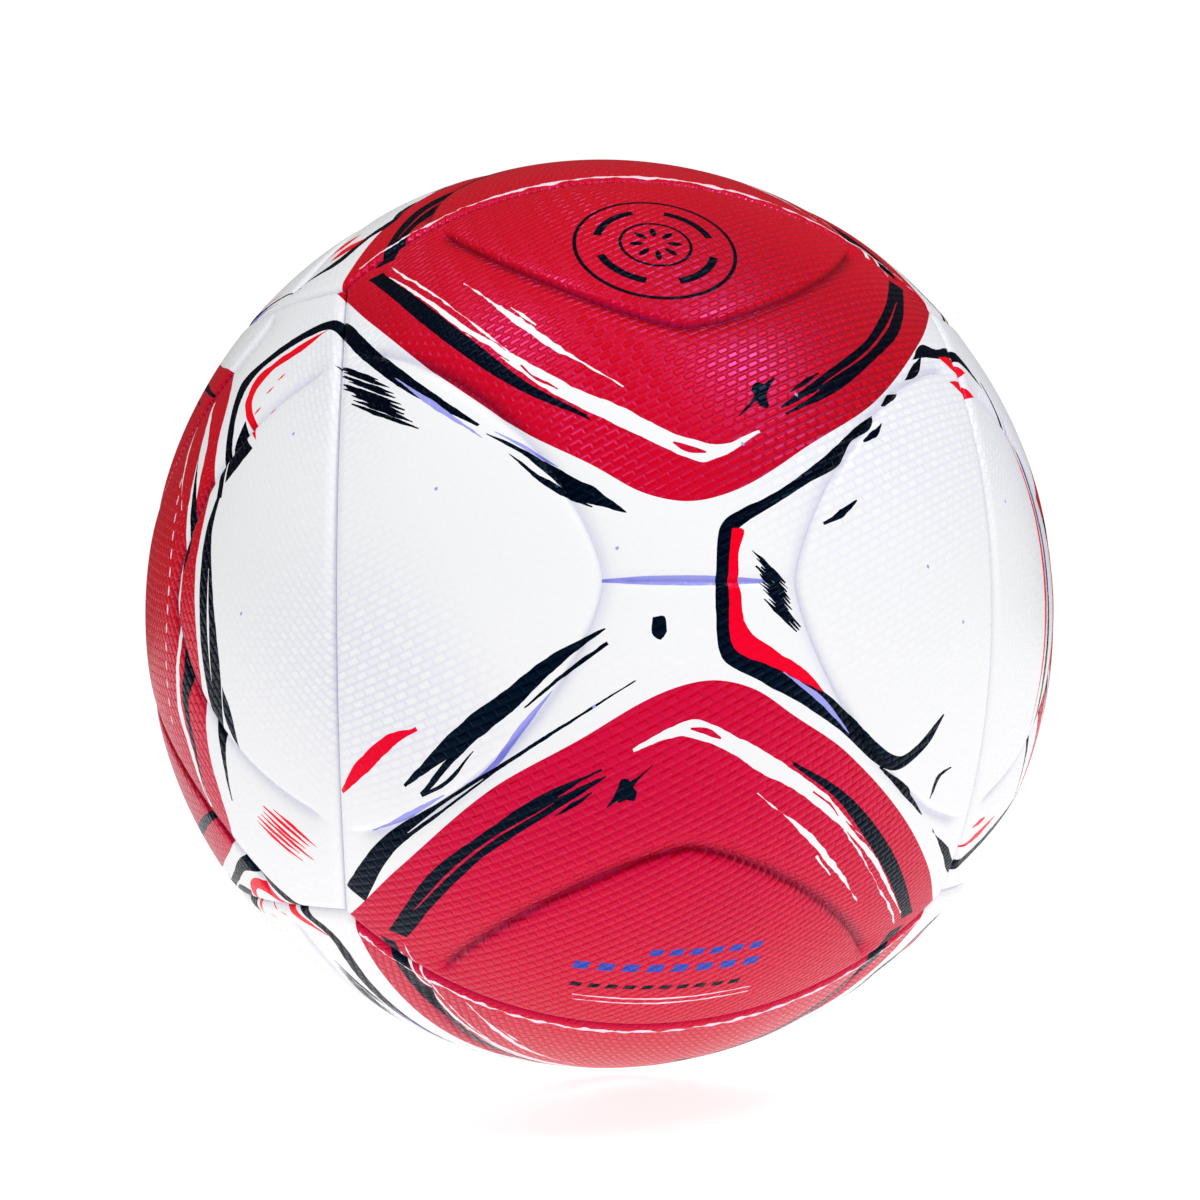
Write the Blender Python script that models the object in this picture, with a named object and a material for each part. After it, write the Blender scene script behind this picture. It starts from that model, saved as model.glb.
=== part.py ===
"""Size 5 soccer ball, built as the real one is: six bonded cover panels with their foam backings,
a sewn textile lining in eight gores, a butyl bladder with a counterweight, and a valve whose core
pulls out. Metres, +Z up, the origin at the ball's centre, the valve on +Z and the front panel on -Y.
"""

import math

import bmesh
import bpy
import numpy as np
from mathutils import Vector

# Ball
BALL_RADIUS = 0.1098  # a circumference of 690 mm
SEAM_BULGE = math.radians(8.6)  # how far the middle of a seam leans off the straight cube edge

# Cover, from the outside in
SKIN_THICKNESS = 0.0015
FOAM_THICKNESS = 0.0032
LINING_THICKNESS = 0.0008
BLADDER_THICKNESS = 0.0010
LAYER_GAP = 0.0003
FACET_ROOM = 0.0014  # foam to lining: their flat facets run in different directions
SEAM_ROLL = 0.0011  # how far a skin's rim dips into the seam
SEAM_CLEARANCE = 0.0022  # share of a panel's half width left free along each seam

SKIN_INNER = BALL_RADIUS - SKIN_THICKNESS
FOAM_OUTER = SKIN_INNER - LAYER_GAP
FOAM_INNER = FOAM_OUTER - FOAM_THICKNESS
LINING_OUTER = FOAM_INNER - FACET_ROOM
LINING_INNER = LINING_OUTER - LINING_THICKNESS
BLADDER_OUTER = LINING_INNER - LAYER_GAP
BLADDER_INNER = BLADDER_OUTER - BLADDER_THICKNESS

# Grids
PANEL_CELLS = 10  # across a panel, between its rolled rims
ROLL_START = 0.965  # share of the half width where the roll begins
GORES_ROUND = 4
GORE_COLUMNS = 8
GORE_ROWS = 8
TURN_STEPS = GORES_ROUND * GORE_COLUMNS
GORE_CLEARANCE = 0.0002  # from each gore's edge to the sewing line

# Valve, all radii from the +Z axis
COVER_HOLE = 0.0056
LINING_HOLE = 0.0140
NECK_RADIUS = 0.0052
BORE_RADIUS = 0.0029
HEAD_RADIUS = 0.0034
HEAD_RECESS = 0.0038
HEAD_DEPTH = 0.0014
STEM_RADIUS = 0.0025
STEM_RIB = 0.0001
NEEDLE_RADIUS = 0.0008
SEAT_RADIUS = 0.0013
FLANGE_RADIUS = 0.0130
FLANGE_THICKNESS = 0.0006
VALVE_FACE_Z = BALL_RADIUS - 0.0006
CORE_LENGTH = 0.0165
BOOT_LENGTH = 0.0200
PATCH_RADIUS = 0.0130

PANELS = {
    # name: outward normal, axis towards the inward-leaning seams, axis towards the outward-leaning seams
    "front": ((0, -1, 0), (1, 0, 0), (0, 0, 1)),
    "back": ((0, 1, 0), (1, 0, 0), (0, 0, 1)),
    "left": ((-1, 0, 0), (0, 0, 1), (0, 1, 0)),
    "right": ((1, 0, 0), (0, 0, 1), (0, 1, 0)),
    "top": ((0, 0, 1), (0, 1, 0), (1, 0, 0)),
    "bottom": ((0, 0, -1), (0, 1, 0), (1, 0, 0)),
}


def clear_scene():
    for obj in list(bpy.data.objects):
        bpy.data.objects.remove(obj, do_unlink=True)


def plain_material(name, color, roughness, metallic=0.0):
    material = bpy.data.materials.new(name)
    material.use_nodes = True
    shader = material.node_tree.nodes["Principled BSDF"]
    shader.inputs["Base Color"].default_value = (*color, 1.0)
    shader.inputs["Roughness"].default_value = roughness
    shader.inputs["Metallic"].default_value = metallic
    material.diffuse_color = (*color, 1.0)
    return material


def add_object(name, mesh, material):
    mesh.materials.append(material)
    mesh.shade_smooth()
    mesh.set_sharp_from_angle(angle=math.radians(35))
    obj = bpy.data.objects.new(name, mesh)
    bpy.context.scene.collection.objects.link(obj)
    return obj


def mesh_from(name, points, faces):
    """A closed mesh with its faces turned outwards."""
    mesh = bpy.data.meshes.new(name)
    mesh.from_pydata([tuple(point) for point in points], [], faces)
    work = bmesh.new()
    work.from_mesh(mesh)
    bmesh.ops.recalc_face_normals(work, faces=work.faces)
    work.to_mesh(mesh)
    work.free()
    return mesh


def seam_point(along, lean):
    """(normal, seam side, along) of the seam at along = -1 to 1, on the unit sphere."""
    angle = math.pi / 4 + lean * (1 - along * along)
    point = np.array([math.cos(angle), math.sin(angle), along / math.sqrt(2)])
    return point / np.linalg.norm(point)


def panel_direction(u, v):
    """Unit vector (normal, inward axis, outward axis) at u, v = -1 to 1, blended from the four seams."""
    side = seam_point(v, -SEAM_BULGE)
    end = seam_point(u, SEAM_BULGE)
    side_x = side[1] / side[0]
    side_y = side[2] / side[0]
    end_x = end[2] / end[0]
    end_y = end[1] / end[0]
    x = u * side_x + end_x - u
    y = side_y + v * end_y - v
    point = np.array([1.0, x, y])
    return point / np.linalg.norm(point)


def panel_lines():
    """The grid's lines, with one close to each rim for the roll."""
    inner = np.linspace(-ROLL_START, ROLL_START, PANEL_CELLS + 1)
    return np.concatenate([[-1.0], inner, [1.0]]) * (1 - SEAM_CLEARANCE)


def shell_mesh(name, outer, inner):
    """Closes two equal grids of points, the outer and the inner surface, with a wall round their rims."""
    rows, columns = outer.shape[:2]
    count = rows * columns
    points = np.concatenate([outer.reshape(-1, 3), inner.reshape(-1, 3)])
    faces = []
    for row in range(rows - 1):
        for column in range(columns - 1):
            a = row * columns + column
            b, c, d = a + 1, a + columns + 1, a + columns
            faces.append((a, b, c, d))
            faces.append((a + count, d + count, c + count, b + count))
    rim = [column for column in range(columns)]
    rim += [row * columns + columns - 1 for row in range(1, rows)]
    rim += [(rows - 1) * columns + column for column in range(columns - 2, -1, -1)]
    rim += [row * columns for row in range(rows - 2, 0, -1)]
    for a, b in zip(rim, rim[1:] + rim[:1]):
        faces.append((b, a, a + count, b + count))
    return mesh_from(name, points, faces)


def panel_shell(name, axes, outer_radius, inner_radius, roll, material):
    frame = np.array(axes, float)
    lines = panel_lines()
    directions = np.array([[panel_direction(u, v) @ frame for u in lines] for v in lines])
    radii = np.full((len(lines), len(lines), 1), outer_radius)
    radii[[0, -1], :] -= roll
    radii[1:-1, [0, -1]] -= roll
    mesh = shell_mesh(name, directions * radii, directions * inner_radius)
    return add_object(name, mesh, material)


def gore(name, quarter, upper, material):
    """One eighth of the lining: a quarter turn wide, from the hole round the pole to the equator."""
    start = quarter * math.pi / 2
    edge = GORE_CLEARANCE / LINING_OUTER
    hole = math.asin(LINING_HOLE / LINING_OUTER)
    grid = []
    for row in range(GORE_ROWS + 1):
        polar = hole + (math.pi / 2 - edge - hole) * row / GORE_ROWS
        margin = edge / math.sin(polar)
        line = []
        for column in range(GORE_COLUMNS + 1):
            turn = start + np.clip(math.pi / 2 * column / GORE_COLUMNS, margin, math.pi / 2 - margin)
            height = math.cos(polar) if upper else -math.cos(polar)
            line.append((math.sin(polar) * math.cos(turn), math.sin(polar) * math.sin(turn), height))
        grid.append(line)
    directions = np.array(grid)
    mesh = shell_mesh(name, directions * LINING_OUTER, directions * LINING_INNER)
    return add_object(name, mesh, material)


def turned(name, profile, material):
    """Turns a profile of (radius, z) round the Z axis. The profile is a closed loop or ends on the axis."""
    work = bmesh.new()
    corners = [work.verts.new((radius, 0, z)) for radius, z in profile]
    edges = [work.edges.new(pair) for pair in zip(corners, corners[1:])]
    if profile[0][0] > 0:
        edges.append(work.edges.new((corners[-1], corners[0])))
    bmesh.ops.spin(
        work,
        geom=corners + edges,
        cent=(0, 0, 0),
        axis=(0, 0, 1),
        angle=math.tau,
        steps=TURN_STEPS,
        use_duplicate=False,
    )
    bmesh.ops.remove_doubles(work, verts=work.verts, dist=1e-6)
    bmesh.ops.recalc_face_normals(work, faces=work.faces)
    mesh = bpy.data.meshes.new(name)
    work.to_mesh(mesh)
    work.free()
    return add_object(name, mesh, material)


def arc(radius, first, last, steps):
    """Points (radius from the axis, z) on a circle round the ball's centre, by polar angle."""
    angles = [first + (last - first) * i / steps for i in range(steps + 1)]
    return [(radius * math.sin(angle), radius * math.cos(angle)) for angle in angles]


def bladder(material):
    opening = math.asin(COVER_HOLE / BLADDER_OUTER)
    hole = math.asin(LINING_HOLE / LINING_OUTER)
    rows = [opening]
    rows += [hole + (math.pi / 2 - hole) * i / GORE_ROWS for i in range(GORE_ROWS)]
    rows += [math.pi - angle for angle in reversed(rows[1:])]
    rows.insert(len(rows) // 2 + 1, math.pi / 2)
    outside = [(BLADDER_OUTER * math.sin(angle), BLADDER_OUTER * math.cos(angle)) for angle in rows]
    inside = [(BLADDER_INNER * math.sin(angle), BLADDER_INNER * math.cos(angle)) for angle in rows]
    profile = outside + [(0, -BLADDER_OUTER)]
    profile_inside = [(0, -BLADDER_INNER)] + inside[::-1]
    return turned_shell("bladder", profile, profile_inside, material)


def turned_shell(name, outside, inside, material):
    """A hollow body: both profiles end on the axis at the bottom and meet round the opening at the top."""
    work = bmesh.new()
    rings = []
    for radius, z in outside + inside:
        if radius == 0:
            rings.append([work.verts.new((0, 0, z))])
            continue
        turns = [math.tau * i / TURN_STEPS for i in range(TURN_STEPS)]
        ring = [work.verts.new((radius * math.cos(t), radius * math.sin(t), z)) for t in turns]
        rings.append(ring)
    pole = len(outside) - 1
    pairs = [(i, i + 1) for i in range(len(rings) - 1) if i != pole]
    pairs.append((len(rings) - 1, 0))
    for first, second in pairs:
        for i in range(TURN_STEPS):
            j = (i + 1) % TURN_STEPS
            a, b = rings[first], rings[second]
            if len(a) == 1:
                work.faces.new((a[0], b[i], b[j]))
            elif len(b) == 1:
                work.faces.new((a[i], b[0], a[j]))
            else:
                work.faces.new((a[i], b[i], b[j], a[j]))
    bmesh.ops.recalc_face_normals(work, faces=work.faces)
    mesh = bpy.data.meshes.new(name)
    work.to_mesh(mesh)
    work.free()
    return add_object(name, mesh, material)


def valve_housing(material):
    """The moulded rubber boot: a flat face at the cover, a flange on the bladder and a seated bore."""
    flange_inner = BLADDER_OUTER + LAYER_GAP
    flange_outer = flange_inner + FLANGE_THICKNESS
    neck_angle = math.asin(NECK_RADIUS / flange_outer)
    rim_angle = math.asin(FLANGE_RADIUS / flange_outer)
    bottom = VALVE_FACE_Z - BOOT_LENGTH
    profile = [
        (HEAD_RECESS, VALVE_FACE_Z),
        (NECK_RADIUS, VALVE_FACE_Z),
        *arc(flange_outer, neck_angle, rim_angle, 3),
        *arc(flange_inner, rim_angle, neck_angle, 3),
        (NECK_RADIUS, bottom + 0.002),
        (NECK_RADIUS - 0.002, bottom),
        (SEAT_RADIUS, bottom),
        (SEAT_RADIUS, bottom + 0.0022),
        (BORE_RADIUS, bottom + 0.0028),
        (BORE_RADIUS, VALVE_FACE_Z - HEAD_DEPTH - LAYER_GAP),
        (HEAD_RECESS, VALVE_FACE_Z - HEAD_DEPTH - LAYER_GAP),
    ]
    return turned("valve_housing", profile, material)


def valve_core(material):
    """The plug that pulls out: a dished head, a ribbed stem and the needle's guide hole."""
    top = VALVE_FACE_Z + 0.0002
    neck = VALVE_FACE_Z - HEAD_DEPTH
    end = top - CORE_LENGTH
    profile = [
        (0, end + 0.004),
        (NEEDLE_RADIUS, end + 0.005),
        (NEEDLE_RADIUS, top - 0.0012),
        (NEEDLE_RADIUS + 0.0007, top - 0.0005),
        (HEAD_RADIUS - 0.0009, top),
        (HEAD_RADIUS, top - 0.0004),
        (HEAD_RADIUS, neck),
        (STEM_RADIUS, neck),
    ]
    for rib in range(3):
        z = neck - 0.003 - 0.0035 * rib
        profile += [
            (STEM_RADIUS, z + 0.0006),
            (STEM_RADIUS + STEM_RIB, z),
            (STEM_RADIUS, z - 0.0006),
        ]
    profile += [(STEM_RADIUS, end + 0.001), (STEM_RADIUS - 0.001, end), (0, end)]
    return turned("valve_core", profile, material)


def counterweight(material):
    """The disc bonded to the bladder opposite the valve, so that the ball flies straight."""
    inner = BLADDER_OUTER + LAYER_GAP
    outer = inner + FLANGE_THICKNESS
    rim = math.pi - math.asin(PATCH_RADIUS / outer)
    profile = arc(outer, math.pi, rim, 4) + arc(inner, rim, math.pi, 4)
    profile[0] = (0, -outer)
    profile[-1] = (0, -inner)
    return turned("counterweight_patch", profile, material)


def cut_valve_hole(obj, cutter):
    modifier = obj.modifiers.new("valve_hole", "BOOLEAN")
    modifier.operation = "DIFFERENCE"
    modifier.solver = "EXACT"
    modifier.object = cutter


def hole_cutter():
    """A guide for the valve's hole through the top panel and its foam, longer than both walls."""
    work = bmesh.new()
    bmesh.ops.create_cone(
        work,
        cap_ends=True,
        segments=TURN_STEPS,
        radius1=COVER_HOLE,
        radius2=COVER_HOLE,
        depth=0.03,
    )
    bmesh.ops.translate(work, verts=work.verts, vec=Vector((0, 0, BALL_RADIUS)))
    mesh = bpy.data.meshes.new("valve_hole_cutter")
    work.to_mesh(mesh)
    work.free()
    cutter = bpy.data.objects.new("valve_hole_cutter", mesh)
    cutter.hide_render = True
    cutter.display_type = "WIRE"
    bpy.context.scene.collection.objects.link(cutter)
    return cutter


def main():
    clear_scene()
    cover = plain_material("cover_white", (0.90, 0.90, 0.89), 0.35)
    foam = plain_material("backing_foam", (0.82, 0.80, 0.74), 0.9)
    textile = plain_material("lining_textile", (0.74, 0.73, 0.70), 0.85)
    butyl = plain_material("bladder_butyl", (0.03, 0.03, 0.035), 0.6)
    rubber = plain_material("valve_rubber", (0.05, 0.05, 0.055), 0.5)
    silicone = plain_material("core_silicone", (0.72, 0.72, 0.71), 0.45)

    cutter = hole_cutter()
    for side, axes in PANELS.items():
        skin = panel_shell("panel_" + side, axes, BALL_RADIUS, SKIN_INNER, SEAM_ROLL, cover)
        backing = panel_shell("foam_" + side, axes, FOAM_OUTER, FOAM_INNER, 0.0, foam)
        if side == "top":
            cut_valve_hole(skin, cutter)
            cut_valve_hole(backing, cutter)
    for upper in (True, False):
        for quarter in range(GORES_ROUND):
            half = "upper" if upper else "lower"
            gore(f"lining_{half}_{quarter + 1}", quarter, upper, textile)
    bladder(butyl)
    counterweight(butyl)
    valve_housing(rubber)
    valve_core(silicone)


main()
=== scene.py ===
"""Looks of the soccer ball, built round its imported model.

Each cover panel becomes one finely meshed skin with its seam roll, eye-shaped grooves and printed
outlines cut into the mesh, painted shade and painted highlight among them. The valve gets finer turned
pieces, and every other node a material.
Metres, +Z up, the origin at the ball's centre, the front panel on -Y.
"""

import math
from functools import partial

import bmesh
import bpy
import numpy as np
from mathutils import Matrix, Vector
from mathutils.geometry import delaunay_2d_cdt


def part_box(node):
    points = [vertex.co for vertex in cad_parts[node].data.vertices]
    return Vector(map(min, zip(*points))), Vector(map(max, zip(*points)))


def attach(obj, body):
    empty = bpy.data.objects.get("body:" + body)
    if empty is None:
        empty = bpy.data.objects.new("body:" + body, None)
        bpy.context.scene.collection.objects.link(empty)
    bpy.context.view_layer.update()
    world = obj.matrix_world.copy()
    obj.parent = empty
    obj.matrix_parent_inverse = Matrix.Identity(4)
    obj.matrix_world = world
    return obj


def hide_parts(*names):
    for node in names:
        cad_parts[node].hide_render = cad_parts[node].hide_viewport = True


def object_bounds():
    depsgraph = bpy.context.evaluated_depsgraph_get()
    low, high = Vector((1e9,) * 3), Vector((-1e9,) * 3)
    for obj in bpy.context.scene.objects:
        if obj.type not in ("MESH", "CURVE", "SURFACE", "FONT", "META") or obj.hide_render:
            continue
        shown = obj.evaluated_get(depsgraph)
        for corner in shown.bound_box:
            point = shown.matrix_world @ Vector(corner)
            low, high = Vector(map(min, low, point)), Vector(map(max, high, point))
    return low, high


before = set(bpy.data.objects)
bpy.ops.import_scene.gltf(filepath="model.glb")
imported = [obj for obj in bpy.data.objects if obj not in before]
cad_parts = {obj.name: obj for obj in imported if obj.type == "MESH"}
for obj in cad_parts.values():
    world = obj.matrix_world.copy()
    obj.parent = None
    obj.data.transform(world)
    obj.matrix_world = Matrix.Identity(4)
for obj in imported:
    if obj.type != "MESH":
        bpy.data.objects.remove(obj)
cad_low, cad_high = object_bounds()

MM = 0.001
ROOT2 = math.sqrt(2)

# The ball, as in the CAD
BALL_RADIUS = -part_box("panel_front")[0].y
SEAM_BULGE = math.radians(8.6)
COVER_HOLE = 5.6 * MM
SKIN_INNER = BALL_RADIUS - 1.75 * MM

PANELS = {
    # name: outward normal, axis towards the inward-leaning seams, axis towards the outward-leaning seams
    "front": ((0, -1, 0), (1, 0, 0), (0, 0, 1)),
    "back": ((0, 1, 0), (1, 0, 0), (0, 0, 1)),
    "left": ((-1, 0, 0), (0, 0, 1), (0, 1, 0)),
    "right": ((1, 0, 0), (0, 0, 1), (0, 1, 0)),
    "top": ((0, 0, 1), (0, 1, 0), (1, 0, 0)),
    "bottom": ((0, 0, -1), (0, 1, 0), (1, 0, 0)),
}

# Relief, in mm unless it says degrees
VALLEY_WIDTH = 2.4
VALLEY_DEPTH = 1.6
EYE_ACROSS = 27.0  # degrees from the middle of a seam to the groove's point
EYE_ALONG = 24.8  # degrees along the seam
EYE_POWER = 1.5
GROOVE_DEPTH = 1.45
GROOVE_SHOULDER = 2.6
GROOVE_FLANK = 0.55
LENS_DROP = 0.35
LENS_ROUNDING = 7.0
BAR_DEPTH = 0.8
BAR_WIDTH = 1.0
BAR_REACH = 9.5  # degrees each side of a panel's centre
BAR_FADE = 3  # degrees over which its ends run out
SEAM_FADE = (1.5, 8.5)  # mm from a seam over which the grooves set in
VALVE_FADE = (8, 15)  # mm from the ball's axis over which the relief sets in again
LIP_WIDTH = 1.4
LIP_DEPTH = 0.55

# Mesh
LATTICE_CELLS = 212
LATTICE_EDGE = 0.972
RIM_ROWS = (0.0, 0.0007, 0.002, 0.0042, 0.0075, 0.012, 0.0175, 0.0225)
RIM_GAP = 0.0006
INNER_CELLS = 24
GROOVE_ROWS = (-1.5, -0.8, -0.35, 0.0, 0.4, 1.0)  # mm from a groove
BAR_ROWS = (-1.4, -0.7, 0.0, 0.7, 1.4)  # mm from the bar's middle
LIP_ROWS = (0, 0.15, 0.35, 0.6, 0.95, 1.4, 2.0)  # mm from the hole for the valve
HOLE_STEPS = 72
HOLE_EDGE = 0.9995  # share of the hole's radius inside which a triangle goes
RING_CLEAR = 1.05  # share of the outermost ring's radius inside which lattice points go
INNER_HOLE = 0.08  # the same for the inner face, in the panel's plane
RIM_ZONE = 0.5  # mm to a seam, within which the rim itself tells in from out
CREASE_END = 3  # mm from a seam
CREASE_HORIZON = 0.5  # least cosine to the panel's normal
CREASE_CLEAR = 10 * MM  # from the ball's axis, where the valve is
LATTICE_CLEAR = 0.35 * MM  # least distance of a lattice point to a line
NORMAL_STEP = 0.06 * MM
PRINT_STEP = 0.4  # degrees between an outline's points
LEAST_STEP = 0.02
HORIZON = 0.45  # least cosine to a panel's normal for a print that reaches it
PLANE_REACH = 1.5  # how far out in a panel's plane a print may lie and still touch it

# Prints, and the lines of painted shade and painted highlight
# Where the painted shade along each panel's bar ends, in degrees from the panel's centre.
BAR_SHADE_END = 6.5  # degrees from a panel's centre
WHITE_LEAN = 1 / ROOT2  # X of a white area's middle, where its seam's pole is at 1
RHOMBUS_DRIFT = -0.012  # the red areas lie this much off their seam's middle, along X
RHOMBUS_STRETCH = 0.025  # the upper front red area is this share larger, the lower one smaller
# The painted highlight beside a seam: how much of the seam it runs along, and how far off the seam it
# lies.
SEAM_HIGHLIGHT_REACH = 0.93  # share of a seam
SEAM_HIGHLIGHT_SHIFT = math.radians(1.3)
ROUGHNESS_SCALE = 0.4

# The valve, as in the CAD
NECK_RADIUS = 5.2 * MM
BORE_RADIUS = 2.9 * MM
HEAD_RADIUS = 3.4 * MM
HEAD_RECESS = 3.8 * MM
HEAD_DEPTH = 1.7 * MM
STEM_RADIUS = 2.5 * MM
STEM_RIB = 0.1 * MM
NEEDLE_RADIUS = 0.8 * MM
SEAT_RADIUS = 1.3 * MM
FLANGE_RADIUS = 13 * MM
FLANGE_THICKNESS = 0.6 * MM
FLANGE_TOP = BALL_RADIUS - 6.6 * MM
TURN_STEPS = 96

# The embossed weave, in mm
STRAND_LENGTH = 2.75
STRAND_WIDTH = 1.7
STRAND_SLANT = math.radians(28)

# The lilac_shade colour is painted shade of grooves; paleline also carries the painted highlight beside
# the seams.
PRINT_AND_SHADE_COLOURS = ("white", "red", "navy", "scarlet", "lilac_shade", "blue", "paleline")


# ---------------------------------------------------------------- panel geometry


def unit(vectors):
    vectors = np.asarray(vectors, float)
    return vectors / np.linalg.norm(vectors, axis=-1, keepdims=True)


def seam_point(along, lean):
    """Direction of a seam's point, as (panel normal, across, along)."""
    along = np.asarray(along, float)
    angle = math.pi / 4 + lean * (1 - along**2)
    return unit(np.stack([np.cos(angle), np.sin(angle), along / ROOT2], -1))


def panel_plane(u, v):
    """Where (u, v) in the panel's square falls in the plane that touches the ball at its centre."""
    side = seam_point(v, -SEAM_BULGE)
    end = seam_point(u, SEAM_BULGE)
    x = u * side[..., 1] / side[..., 0] + end[..., 2] / end[..., 0] - u
    y = side[..., 2] / side[..., 0] + v * end[..., 1] / end[..., 0] - v
    return np.stack([x, y], -1)


def lifted(points, axes):
    """Directions of the plane's points."""
    normal, inward, outward = axes
    return unit(normal + points[:, :1] * inward + points[:, 1:] * outward)


def smooth(value, start, end):
    """0 before start, 1 after end, and a soft step between them."""
    share = np.clip((value - start) / (end - start), 0, 1)
    return share * share * (3 - 2 * share)


def seam_measures(directions, axes):
    """For each of the two kinds of seam: mm to the nearer one, and signed mm to its eye-shaped groove."""
    normal, inward, outward = (directions @ axis for axis in axes)
    found = []
    for side, along, lean in ((inward, outward, -SEAM_BULGE), (outward, inward, SEAM_BULGE)):
        side = np.abs(side)
        across = np.arctan2(side, normal)
        latitude = np.arctan2(along, np.hypot(normal, side))
        t = ROOT2 * np.tan(latitude)
        slope = -2 * ROOT2 * lean * t / np.cos(latitude)
        seam = math.pi / 4 + lean * (1 - t * t)
        to_seam = (seam - across) * np.cos(latitude) / np.sqrt(1 + slope**2)
        x = np.abs(np.degrees((across - math.pi / 4 - lean) * np.cos(latitude))) + 1e-4
        y = np.abs(np.degrees(latitude)) + 1e-4
        sums = (x / EYE_ACROSS) ** EYE_POWER + (y / EYE_ALONG) ** EYE_POWER
        level = sums ** (1 / EYE_POWER)
        pull = level ** (1 - EYE_POWER)
        rise = np.hypot(
            pull * x ** (EYE_POWER - 1) / EYE_ACROSS**EYE_POWER,
            pull * y ** (EYE_POWER - 1) / EYE_ALONG**EYE_POWER,
        )
        to_eye = np.radians((level - 1) / rise)
        found.append((to_seam * BALL_RADIUS / MM, to_eye * BALL_RADIUS / MM))
    return found


def relief(directions, axes):
    """How deep the surface lies under the ball's radius, in metres."""
    measures = seam_measures(directions, axes)
    seam = np.minimum(measures[0][0], measures[1][0])
    share = np.clip(1 - seam / VALLEY_WIDTH, 0, 1)
    depth = VALLEY_DEPTH * (1 - np.sqrt(1 - share**2))
    from_valve = math.inf
    if axes[0][2] > 0:
        from_valve = np.hypot(directions[:, 0], directions[:, 1]) * BALL_RADIUS / MM
    calm = smooth(from_valve, *VALVE_FADE)
    for to_seam, to_eye in measures:
        fade = smooth(to_seam, *SEAM_FADE) * calm
        outside = GROOVE_DEPTH * np.exp(-np.maximum(to_eye, 0) / GROOVE_SHOULDER)
        lens = LENS_DROP * np.exp(np.minimum(to_eye, 0) / LENS_ROUNDING)
        inside = lens + (GROOVE_DEPTH - LENS_DROP) * np.exp(np.minimum(to_eye, 0) / GROOVE_FLANK)
        depth = depth + fade * np.where(to_eye > 0, outside, inside)
    along = np.degrees(np.arctan2(np.abs(directions @ axes[1]), directions @ axes[0]))
    off = np.arcsin(np.clip(directions @ axes[2], -1, 1)) * BALL_RADIUS / MM
    bar = np.exp(-((off / BAR_WIDTH) ** 2)) * (1 - smooth(along, BAR_REACH - BAR_FADE, BAR_REACH))
    depth = depth + BAR_DEPTH * bar * calm
    lip = np.clip(1 - (from_valve - COVER_HOLE / MM) / LIP_WIDTH, 0, 1)
    depth = depth + LIP_DEPTH * lip**2
    return depth * MM


def surface_normals(directions, axes):
    """Unit normals of the relief, by stepping a little to each side."""
    step = NORMAL_STEP / BALL_RADIUS
    helper = np.where(np.abs(directions[:, 2:]) < 0.9, (0.0, 0.0, 1.0), (1.0, 0.0, 0.0))
    first = unit(np.cross(directions, helper))
    second = np.cross(directions, first)
    normals = directions.copy()
    for tangent in (first, second):
        ahead = relief(unit(directions + step * tangent), axes)
        behind = relief(unit(directions - step * tangent), axes)
        slope = -(ahead - behind) / (2 * step * BALL_RADIUS)
        normals = normals - slope[:, None] * tangent
    return unit(normals)


# ---------------------------------------------------------------- prints: frames and pens


class Pod:
    """A printed area's own flat frame: degrees from its centre, times stretch, along ex and ey."""

    def __init__(self, centre, up, stretch=1.0):
        self.centre = unit(centre)
        up = np.asarray(up, float)
        self.ey = unit(up - self.centre * (self.centre @ up))
        self.ex = np.cross(self.ey, self.centre)
        self.stretch = stretch

    def directions(self, points):
        points = np.radians(np.asarray(points, float)) * self.stretch
        reach = np.maximum(np.linalg.norm(points, axis=1, keepdims=True), 1e-9)
        flat = points[:, :1] * self.ex + points[:, 1:] * self.ey
        return np.cos(reach) * self.centre + np.sin(reach) * flat / reach

    def local(self, directions):
        flat = np.stack([directions @ self.ex, directions @ self.ey], -1)
        reach = np.degrees(np.arccos(np.clip(directions @ self.centre, -1, 1)))[:, None]
        return flat / np.maximum(np.linalg.norm(flat, axis=1, keepdims=True), 1e-9) * reach / self.stretch

    def turned(self):
        """The same area, turned half way round."""
        return Pod(self.centre, -self.ey, self.stretch)


# The lilac_shade outlines among them are painted shade, and the pale lines beside the seams painted
# highlight.
prints = []  # (colour, directions of the outline), later ones on top
chance = np.random.default_rng(7)


def spline(points):
    """Points every PRINT_STEP degrees on a smooth curve through the given ones."""
    points = np.asarray(points, float)
    if len(points) == 2:
        count = max(2, int(np.linalg.norm(points[1] - points[0]) / PRINT_STEP))
        return points[0] + np.linspace(0, 1, count + 1)[:, None] * (points[1] - points[0])
    padded = np.vstack([2 * points[0] - points[1], points, 2 * points[-1] - points[-2]])
    found = []
    for a, b, c, d in zip(padded, padded[1:], padded[2:], padded[3:]):
        length = np.linalg.norm(c - b)
        count = max(1, int(round(length / PRINT_STEP)))
        t = (np.arange(count) / count)[:, None]
        start = length * (c - a) / (np.linalg.norm(b - a) + length)
        end = length * (d - b) / (np.linalg.norm(d - c) + length)
        cube, square = t**3, t**2
        found.append(
            (2 * cube - 3 * square + 1) * b
            + (cube - 2 * square + t) * start
            + (3 * square - 2 * cube) * c
            + (cube - square) * end
        )
    return np.vstack([*found, points[-1:]])


def roughened(outline, rough):
    """The closed outline with its points moved in and out, as a dry brush leaves it."""
    if not rough or len(outline) < 8:
        return outline
    noise = chance.normal(size=len(outline))
    noise = ROUGHNESS_SCALE * (0.7 * noise + 0.6 * np.roll(noise, 1) + 0.4 * np.roll(noise, 2))
    along = np.roll(outline, -1, axis=0) - np.roll(outline, 1, axis=0)
    across = np.stack([-along[:, 1], along[:, 0]], -1)
    across = across / np.maximum(np.linalg.norm(across, axis=1, keepdims=True), 1e-9)
    return outline + rough * noise[:, None] * across


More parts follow.
